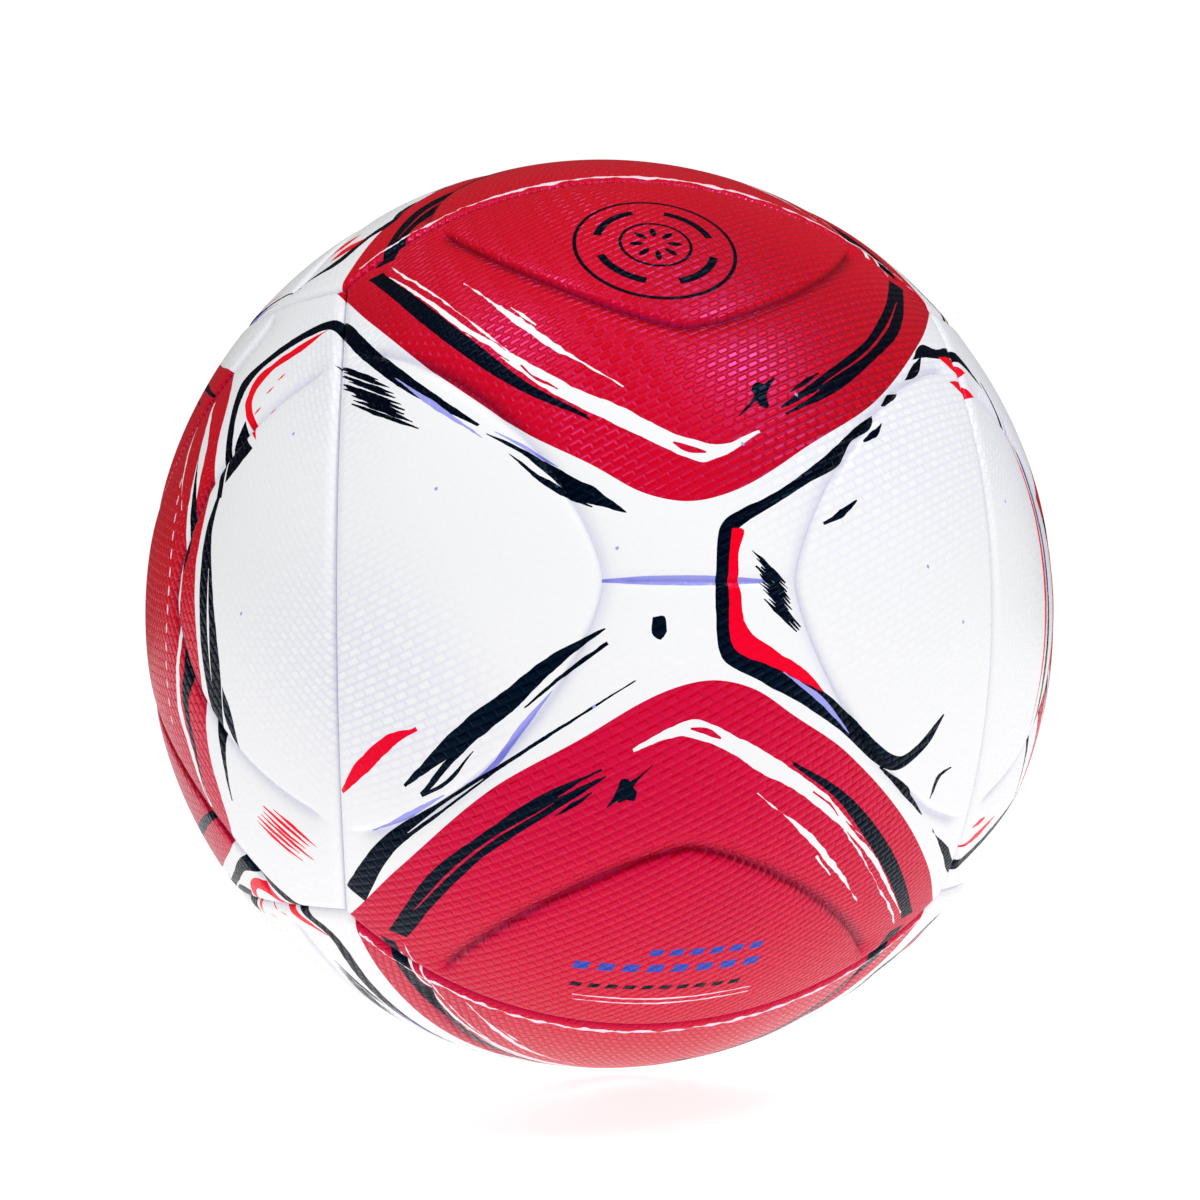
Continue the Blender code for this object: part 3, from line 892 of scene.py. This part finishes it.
def skin_mesh(name, axes):
    """One panel's closed skin: fine outer face with its prints, a short rim and a plain inner face."""
    stops = lattice_stops()
    count = len(stops)
    u, v = np.meshgrid(stops, stops, indexing="ij")
    grid = panel_plane(u, v).reshape(-1, 2)
    index = np.arange(count * count).reshape(count, count)
    border = np.concatenate([index[:-1, 0], index[-1, :-1], index[:0:-1, -1], index[0, :0:-1]])
    on_border = np.zeros(len(grid), bool)
    on_border[border] = True
    rim = grid[border]
    shapes = panel_prints(axes, PLANE_REACH)
    outlines = [shape for _, shape in shapes]
    rings = valve_rings() if name == "top" else []
    outlines += rings[:1]
    creases = panel_creases(name, axes)
    near = np.vstack(outlines + [flat[kept] for flat, kept in creases])
    keep = on_border | away_from(grid, near, LATTICE_CLEAR / BALL_RADIUS)
    if rings:
        keep &= np.linalg.norm(grid, axis=1) > np.linalg.norm(rings[-1][0]) * RING_CLEAR
    points = [grid[keep]]
    rim_ids = (np.cumsum(keep) - 1)[border]
    edges = [np.stack([rim_ids, np.roll(rim_ids, -1)], -1)]
    total = int(keep.sum())
    for outline in outlines:
        edges.append(closed_edges(total, len(outline)))
        points.append(outline)
        total += len(outline)
    for flat, kept in creases:
        links = np.flatnonzero(kept[:-1] & kept[1:])
        places = np.cumsum(kept) - 1 + total
        edges.append(np.stack([places[links], places[links + 1]], -1))
        points.append(flat[kept])
        total += int(kept.sum())
    points += rings[1:]
    flat, triangles, centres = triangulated(np.vstack(points), np.vstack(edges))
    inside = on_panel(centres, axes, rim)
    if rings:
        inside &= np.linalg.norm(centres, axis=1) > np.linalg.norm(rings[0][0]) * HOLE_EDGE
    triangles, centres = triangles[inside], centres[inside]
    colours = np.zeros(len(triangles), int)
    for colour, shape in shapes:
        low, high = shape.min(axis=0), shape.max(axis=0)
        near = np.flatnonzero(((centres > low) & (centres < high)).all(axis=1))
        colours[near[enclosed(centres[near], shape)]] = colour
    used = np.unique(triangles)
    renumber = np.zeros(len(flat), int)
    renumber[used] = np.arange(len(used))
    return closed_skin(name, axes, flat[used], renumber[triangles], colours)


def on_panel(points, axes, rim):
    """Which of the plane's points lie inside a panel's rim."""
    measures = seam_measures(lifted(points, axes), axes)
    seam = np.minimum(measures[0][0], measures[1][0])
    inside = seam > RIM_ZONE
    close = np.flatnonzero(np.abs(seam) <= RIM_ZONE)
    inside[close] = enclosed(points[close], rim)
    return inside


def closed_skin(name, axes, flat, triangles, colours):
    """The panel's object: the outer face on the relief, a plain inner face, and walls between them."""
    directions = lifted(flat, axes)
    depth = relief(directions, axes)
    outer = directions * (BALL_RADIUS - depth)[:, None]
    loops = boundary_loops(triangles)
    rims = [flat[loop] for loop in loops]
    rims.sort(key=lambda rim: -np.ptp(rim[:, 0]))
    loops.sort(key=lambda loop: -np.ptp(flat[loop][:, 0]))
    stops = np.linspace(-1, 1, INNER_CELLS + 2)[1:-1]
    u, v = np.meshgrid(stops, stops)
    sparse = panel_plane(u, v).reshape(-1, 2)
    starts = np.cumsum([0] + [len(rim) for rim in rims])
    if len(rims) > 1:
        sparse = sparse[np.linalg.norm(sparse, axis=1) > INNER_HOLE]
    edges = np.vstack([closed_edges(starts[i], len(rim)) for i, rim in enumerate(rims)])
    given = np.vstack([*rims, sparse])
    low, under, centres = triangulated(given, edges)
    within = enclosed(centres, rims[0])
    for hole in rims[1:]:
        within &= ~enclosed(centres, hole)
    under = under[within][:, ::-1]
    base = len(outer)
    inner = lifted(low, axes) * SKIN_INNER
    walls = []
    for loop, start in zip(loops, starts):
        ids = [base + start + i for i in range(len(loop))]
        following = loop[1:] + loop[:1]
        for here, there, deep, deeper in zip(loop, following, ids, ids[1:] + ids[:1]):
            walls += [(here, deep, there), (there, deep, deeper)]
    faces = np.vstack([triangles, np.array(walls), under + base])
    handed = np.dot(np.cross(axes[1], axes[2]), axes[0])
    if handed < 0:
        faces = faces[:, ::-1]
    mesh = bpy.data.meshes.new("cover_" + name)
    mesh.from_pydata(np.vstack([outer, inner]).tolist(), [], faces.tolist())
    mesh.polygons.foreach_set("use_smooth", np.ones(len(faces), bool))
    material_index = np.zeros(len(faces), np.int32)
    material_index[: len(colours)] = colours
    mesh.polygons.foreach_set("material_index", material_index)
    normals = np.vstack([surface_normals(directions, axes), -unit(inner)])
    write_attributes(mesh, directions, axes, depth, len(inner))
    mesh.update()
    mesh.normals_split_custom_set_from_vertices(normals.tolist())
    skin = bpy.data.objects.new("cover_" + name, mesh)
    bpy.context.scene.collection.objects.link(skin)
    return skin


def write_attributes(mesh, directions, axes, depth, spare):
    """Cloth coordinates in mm along the panel, and mm of depth, for the materials."""
    normal, inward, outward = (directions @ axis for axis in axes)
    cloth = np.zeros((len(directions) + spare, 3), np.float32)
    cloth[: len(directions), 0] = np.arctan2(inward, normal) * BALL_RADIUS / MM
    cloth[: len(directions), 1] = np.arctan2(outward, normal) * BALL_RADIUS / MM
    attribute = mesh.attributes.new("cloth", "FLOAT_VECTOR", "POINT")
    attribute.data.foreach_set("vector", cloth.ravel())
    deep = np.zeros(len(directions) + spare, np.float32)
    deep[: len(directions)] = depth / MM
    attribute = mesh.attributes.new("depth", "FLOAT", "POINT")
    attribute.data.foreach_set("value", deep)


# ---------------------------------------------------------------- the valve


def rounded(corners, radius):
    """The closed (radius, height) outline with a small round on each corner off the axis."""
    points = [Vector(corner) for corner in corners]
    found = []
    for before, corner, after in zip([points[-1]] + points[:-1], points, points[1:] + points[:1]):
        if corner.x == 0:
            found.append(corner)
            continue
        start = corner + (before - corner).normalized() * min(radius, (before - corner).length * 0.4)
        end = corner + (after - corner).normalized() * min(radius, (after - corner).length * 0.4)
        for share in (0, 0.25, 0.5, 0.75, 1):
            found.append(start.lerp(corner, share).lerp(corner.lerp(end, share), share))
    return found


def turned_piece(name, profile, material, body, replaced):
    """A solid of revolution about the ball's axis, from a closed outline that may touch the axis."""
    work = bmesh.new()
    rings = []
    for radius, height in profile:
        count = TURN_STEPS if radius > 0 else 1
        ring_verts = []
        for step in range(count):
            turn = 2 * math.pi * step / TURN_STEPS
            ring_verts.append(work.verts.new((radius * math.cos(turn), radius * math.sin(turn), height)))
        rings.append(ring_verts)
    for near, far in zip(rings, rings[1:] + rings[:1]):
        for step in range(TURN_STEPS):
            corners = [near[place % len(near)] for place in (step, step + 1)]
            corners += [far[place % len(far)] for place in (step + 1, step)]
            corners = list(dict.fromkeys(corners))
            if len(corners) > 2:
                work.faces.new(corners)
    bmesh.ops.recalc_face_normals(work, faces=work.faces)
    mesh = bpy.data.meshes.new(name)
    work.to_mesh(mesh)
    work.free()
    mesh.shade_smooth()
    mesh.materials.append(material)
    piece = bpy.data.objects.new(name, mesh)
    bpy.context.scene.collection.objects.link(piece)
    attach(piece, body)
    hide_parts(replaced)


def valve_boot(material):
    """The rubber boot: a face flush with the cover, a flange on the bladder and a seated bore."""
    box_low, box_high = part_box("valve_housing")
    face, bottom = box_high.z, box_low.z
    seat = face - HEAD_DEPTH
    upper = np.linspace(math.asin(NECK_RADIUS / FLANGE_TOP), math.asin(FLANGE_RADIUS / FLANGE_TOP), 8)
    under = FLANGE_TOP - FLANGE_THICKNESS
    corners = [(HEAD_RECESS, face), (NECK_RADIUS, face)]
    corners += [(FLANGE_TOP * math.sin(angle), FLANGE_TOP * math.cos(angle)) for angle in upper]
    corners += [(under * math.sin(angle), under * math.cos(angle)) for angle in upper[::-1]]
    corners += [
        (NECK_RADIUS, bottom + 2 * MM),
        (NECK_RADIUS - 2 * MM, bottom),
        (SEAT_RADIUS, bottom),
        (SEAT_RADIUS, bottom + 2.2 * MM),
        (BORE_RADIUS, bottom + 2.8 * MM),
        (BORE_RADIUS, seat),
        (HEAD_RECESS, seat),
    ]
    outline = rounded(corners, 0.25 * MM)
    turned_piece("valve_boot", outline, material, "ball", "valve_housing")


def valve_plug(material):
    """The plug that pulls out: a dished head, a ribbed stem and the needle's guide hole."""
    box_low, box_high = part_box("valve_core")
    top, end = box_high.z, box_low.z
    neck = top - HEAD_DEPTH
    corners = [
        (0, end + 4 * MM),
        (NEEDLE_RADIUS, end + 5 * MM),
        (NEEDLE_RADIUS, top - 1.2 * MM),
        (NEEDLE_RADIUS + 0.7 * MM, top - 0.5 * MM),
        (HEAD_RADIUS - 0.9 * MM, top),
        (HEAD_RADIUS, top - 0.4 * MM),
        (HEAD_RADIUS, neck),
        (STEM_RADIUS, neck),
    ]
    for rib in range(3):
        height = neck - 3 * MM - 3.5 * MM * rib
        for rise, out in ((0.6, 0), (0.25, 0.8), (-0.25, 0.8), (-0.6, 0)):
            corners.append((STEM_RADIUS + out * STEM_RIB, height + rise * MM))
    corners += [(STEM_RADIUS, end + 1 * MM), (STEM_RADIUS - 1 * MM, end), (0, end)]
    outline = rounded(corners, 0.2 * MM)
    turned_piece("valve_plug", outline, material, "valve_core", "valve_core")


# ---------------------------------------------------------------- materials


class Nodes:
    """A short way to write a node tree."""

    def __init__(self, tree):
        self.tree = tree

    def add(self, kind, **settings):
        node = self.tree.nodes.new(kind)
        for key, value in settings.items():
            setattr(node, key, value)
        return node

    def plug(self, socket, value):
        if isinstance(value, bpy.types.NodeSocket):
            self.tree.links.new(value, socket)
        else:
            socket.default_value = value

    def math(self, operation, first, second=0.0, third=0.0):
        node = self.add("ShaderNodeMath", operation=operation)
        for socket, value in zip(node.inputs, (first, second, third)):
            self.plug(socket, value)
        return node.outputs[0]

    def ramp(self, value, low, high, to_low=0.0, to_high=1.0):
        node = self.add("ShaderNodeMapRange", interpolation_type="SMOOTHSTEP")
        for socket, given in zip(node.inputs, (value, low, high, to_low, to_high)):
            self.plug(socket, given)
        return node.outputs[0]

    def mix(self, share, first, second):
        node = self.add("ShaderNodeMix", data_type="RGBA")
        self.plug(node.inputs[0], share)
        self.plug(node.inputs[6], first)
        self.plug(node.inputs[7], second)
        return node.outputs[2]

    def noise(self, scale, detail=3.0, vector=None):
        node = self.add("ShaderNodeTexNoise")
        node.inputs["Scale"].default_value = scale
        node.inputs["Detail"].default_value = detail
        if vector is not None:
            self.plug(node.inputs["Vector"], vector)
        return node.outputs["Fac"]

    def named(self, name):
        return self.add("ShaderNodeAttribute", attribute_name=name)

    def bump(self, height, strength, distance, under=None):
        node = self.add("ShaderNodeBump")
        node.inputs["Strength"].default_value = strength
        node.inputs["Distance"].default_value = distance
        self.plug(node.inputs["Height"], height)
        if under is not None:
            self.plug(node.inputs["Normal"], under)
        return node.outputs["Normal"]


def new_material(name, roughness):
    """A material, the writer of its nodes and its shader."""
    material = bpy.data.materials.new(name)
    material.use_nodes = True
    shader = material.node_tree.nodes["Principled BSDF"]
    shader.inputs["Roughness"].default_value = roughness
    return material, Nodes(material.node_tree), shader


def weave_height(nodes):
    """Embossed basket weave in slanting rows: 1 on a raised strand, 0 between the strands."""
    axes = nodes.add("ShaderNodeSeparateXYZ")
    nodes.plug(axes.inputs[0], nodes.named("cloth").outputs["Vector"])
    x, y = axes.outputs[0], axes.outputs[1]
    cos, sin = math.cos(STRAND_SLANT), math.sin(STRAND_SLANT)
    lengthwise = nodes.math("MULTIPLY", y, sin / STRAND_LENGTH)
    along = nodes.math("MULTIPLY_ADD", x, cos / STRAND_LENGTH, lengthwise)
    crosswise = nodes.math("MULTIPLY", x, -sin / STRAND_WIDTH)
    rows = nodes.math("MULTIPLY_ADD", y, cos / STRAND_WIDTH, crosswise)
    row = nodes.math("FLOOR", rows)
    shifted = nodes.math("MULTIPLY_ADD", nodes.math("FLOORED_MODULO", row, 2.0), 0.5, along)
    crossing = nodes.math("FLOORED_MODULO", nodes.math("FLOOR", shifted), 2.0)
    height = nodes.math("MULTIPLY_ADD", crossing, -0.35, 1.0)
    for place, soft in ((shifted, 0.16), (rows, 0.34)):
        share = nodes.math("FRACT", place)
        nearest = nodes.math("MINIMUM", share, nodes.math("SUBTRACT", 1.0, share))
        height = nodes.math("MULTIPLY", height, nodes.ramp(nearest, 0.02, soft))
    return height


def skin_material(name, colour, deeper, gloss=(1, 1, 1), level=0.5, gap_shade=0.3, weave=0.6, groove=0.85):
    """Printed polyurethane: the weave is embossed in it, with painted shade between its strands and in
    the seams and grooves.
    """
    material, nodes, shader = new_material(name, 0.3)
    height = weave_height(nodes)
    place = nodes.add("ShaderNodeTexCoord").outputs["Object"]
    grain = nodes.noise(900.0, 2.0, place)
    # Painted shade: in cloudy patches, the colour turns towards the darker one between the weave's
    # strands.
    shade_patches = nodes.ramp(nodes.noise(11.0, 1.0, place), 0.44, 0.66, 0.1, 1.0)
    low = nodes.math("SUBTRACT", 1.0, height)
    between = nodes.math("MULTIPLY", low, nodes.math("MULTIPLY", shade_patches, gap_shade))
    # Painted shade: the deeper a seam, groove or bar lies, the more the colour turns to the darker one,
    # up to groove.
    deep = nodes.ramp(nodes.named("depth").outputs["Fac"], 0.4, 1.3, 0.0, groove)
    base = nodes.mix(between, colour, deeper)
    nodes.plug(shader.inputs["Base Color"], nodes.mix(deep, base, deeper))
    nodes.plug(shader.inputs["Roughness"], nodes.math("MULTIPLY_ADD", height, -0.16, 0.42))
    shader.inputs["Specular IOR Level"].default_value = level
    shader.inputs["Specular Tint"].default_value = (*gloss, 1.0)
    fine = nodes.bump(grain, 0.1, 0.05 * MM)
    nodes.plug(shader.inputs["Normal"], nodes.bump(height, weave, 0.2 * MM, fine))
    return material


def rgb(red, green, blue):
    """Linear colour from the 0-255 values a screen shows."""
    values = [channel / 255 for channel in (red, green, blue)]
    return (*[v / 12.92 if v <= 0.04045 else ((v + 0.055) / 1.055) ** 2.4 for v in values], 1.0)


def plain_procedural(name, colour, second, roughness, scale, bump=0.2, distance=0.1 * MM):
    """Mottled colour and a fine grain, for foam, rubber and cloth."""
    material, nodes, shader = new_material(name, roughness)
    place = nodes.add("ShaderNodeTexCoord").outputs["Object"]
    mottled = nodes.noise(scale, 4.0, place)
    nodes.plug(shader.inputs["Base Color"], nodes.mix(nodes.ramp(mottled, 0.35, 0.65), colour, second))
    nodes.plug(shader.inputs["Normal"], nodes.bump(nodes.noise(scale * 6, 2.0, place), bump, distance))
    return material


def cover_materials():
    """One material for each of PRINT_AND_SHADE_COLOURS, in its order: name, colour, darker colour for the
    painted shade, and finish.
    """
    magenta = (1.0, 0.1, 1.0)
    teal = (0.05, 0.35, 0.7)
    plain = {"gap_shade": 0.2, "weave": 0.3}
    white = {"level": 0.3, "gap_shade": 0.26, "weave": 0.09, "groove": 0.24}
    red = {"gloss": magenta, "level": 0.5, "gap_shade": 0.7, "weave": 1.0}
    # The third column is the colour of painted shade, for the gaps of the weave and for the seams and
    # grooves.
    table = (
        ("pu_white", (244, 245, 246), (168, 168, 222), white),
        ("pu_red", (211, 0, 12), (140, 0, 2), red),
        ("print_navy", (1, 2, 18), (1, 1, 8), {"gloss": teal, "level": 0.18, "weave": 1.0}),
        ("print_scarlet", (244, 0, 26), (190, 0, 14), {"gloss": magenta, "level": 0.2, **plain}),
        # Painted shade, for the lilac_shade strokes.
        ("painted_shade_lilac", (158, 160, 236), (120, 120, 220), {"level": 0.3, **plain}),
        ("print_blue", (50, 64, 180), (12, 20, 110), {"gloss": teal, "level": 0.6, "weave": 1.0}),
        # Pale marks, and the painted highlight beside the seams.
        ("pale_marks_and_highlight", (250, 226, 240), (240, 190, 212), {"level": 0.3, **plain}),
    )
    return [skin_material(name, rgb(*base), rgb(*deep), **finish) for name, base, deep, finish in table]


# ---------------------------------------------------------------- build

draw_prints()
COVER_MATERIALS = cover_materials()
for panel_name in PANELS:
    skin = skin_mesh(panel_name, panel_axes(panel_name))
    for cover_material in COVER_MATERIALS:
        skin.data.materials.append(cover_material)
    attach(skin, "ball")
    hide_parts("panel_" + panel_name)

carried = {  # start of a node's name: its material
    "foam_": plain_procedural("foam", rgb(232, 226, 206), rgb(214, 206, 182), 0.9, 300.0),
    "lining_": plain_procedural("lining", rgb(214, 212, 206), rgb(188, 186, 178), 0.85, 420.0),
    "bladder": plain_procedural("butyl", rgb(34, 34, 38), rgb(22, 22, 26), 0.55, 60.0),
    "counterweight": plain_procedural("butyl_patch", rgb(40, 40, 44), rgb(26, 26, 30), 0.6, 80.0),
}
for node_name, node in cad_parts.items():
    for start, material in carried.items():
        if node_name.startswith(start):
            node.data.materials.clear()
            node.data.materials.append(material)

valve_boot(plain_procedural("valve_rubber", rgb(36, 36, 40), rgb(24, 24, 28), 0.48, 200.0))
valve_plug(plain_procedural("silicone", rgb(206, 204, 200), rgb(190, 188, 184), 0.42, 200.0))


# ---------------------------------------------------------------- floor, light and camera

FLOOR_Z = cad_low.z
CAMERA_AZIMUTH = math.radians(-9.7)
CAMERA_ELEVATION = math.radians(-3.1)
CAMERA_ROLL = math.radians(-0.47)
CAMERA_DISTANCE = 3.3 * BALL_RADIUS
LENS = 42.9
SHIFT_Y = 14 / 1200
KEY_SIZE = 0.26
FLOOR_SIZE = 60
FLOOR_GLOW = 0.83
ROOM_LIGHT = 0.42
ROOM_SEEN = 0.62  # brighter where the camera looks at the room
ROOM_MIRRORED = -0.34  # darker in reflections


def floor():
    """A pale, flat floor under the ball."""
    bpy.ops.mesh.primitive_plane_add(size=FLOOR_SIZE, location=(0, 0, FLOOR_Z))
    plane = bpy.context.object
    plane.name = "floor"
    material, nodes, shader = new_material("floor_white", 0.9)
    place = nodes.add("ShaderNodeTexCoord").outputs["Object"]
    shade = nodes.mix(nodes.noise(2.0, 2.0, place), rgb(184, 184, 185), rgb(190, 190, 190))
    nodes.plug(shader.inputs["Base Color"], shade)
    shader.inputs["Emission Color"].default_value = (1, 1, 1, 1)
    shader.inputs["Emission Strength"].default_value = FLOOR_GLOW
    plane.data.materials.append(material)


def area_light(name, place, power):
    """A soft white box that shines at the ball."""
    data = bpy.data.lights.new(name, "AREA")
    data.shape = "DISK"
    data.size = KEY_SIZE
    data.energy = power
    light = bpy.data.objects.new(name, data)
    light.location = place
    light.rotation_euler = (-Vector(place)).to_track_quat("-Z", "Y").to_euler()
    bpy.context.scene.collection.objects.link(light)


def studio():
    """A white room that lights the ball less than it shows, and two soft boxes above the front."""
    world = bpy.data.worlds.new("studio")
    bpy.context.scene.world = world
    world.use_nodes = True
    nodes = Nodes(world.node_tree)
    path = nodes.add("ShaderNodeLightPath")
    seen, mirrored = path.outputs["Is Camera Ray"], path.outputs["Is Glossy Ray"]
    background = world.node_tree.nodes["Background"]
    background.inputs["Color"].default_value = (1, 1, 1, 1)
    strength = nodes.math("MULTIPLY_ADD", seen, ROOM_SEEN, ROOM_LIGHT)
    strength = nodes.math("MULTIPLY_ADD", mirrored, ROOM_MIRRORED, strength)
    nodes.plug(background.inputs["Strength"], strength)
    area_light("key_right", (0.45, -0.6, 0.95), 4.9)
    area_light("key_left", (-0.4, -0.45, 1.0), 3.2)
    bpy.context.scene.view_settings.view_transform = "Standard"


def camera():
    """The view from a little below the ball's middle and to the left of it, from the front."""
    data = bpy.data.cameras.new("camera")
    data.lens = LENS
    data.sensor_width = 36
    data.shift_y = SHIFT_Y
    data.clip_start = 0.01
    eye = bpy.data.objects.new("camera", data)
    back = Vector(
        (
            math.sin(CAMERA_AZIMUTH) * math.cos(CAMERA_ELEVATION),
            -math.cos(CAMERA_AZIMUTH) * math.cos(CAMERA_ELEVATION),
            math.sin(CAMERA_ELEVATION),
        )
    )
    eye.location = back * CAMERA_DISTANCE
    turn = (-back).to_track_quat("-Z", "Y").to_matrix().to_4x4()
    eye.rotation_euler = turn.to_euler()
    eye.rotation_euler.rotate_axis("Z", CAMERA_ROLL)
    bpy.context.scene.collection.objects.link(eye)
    bpy.context.scene.camera = eye


floor()
studio()
camera()
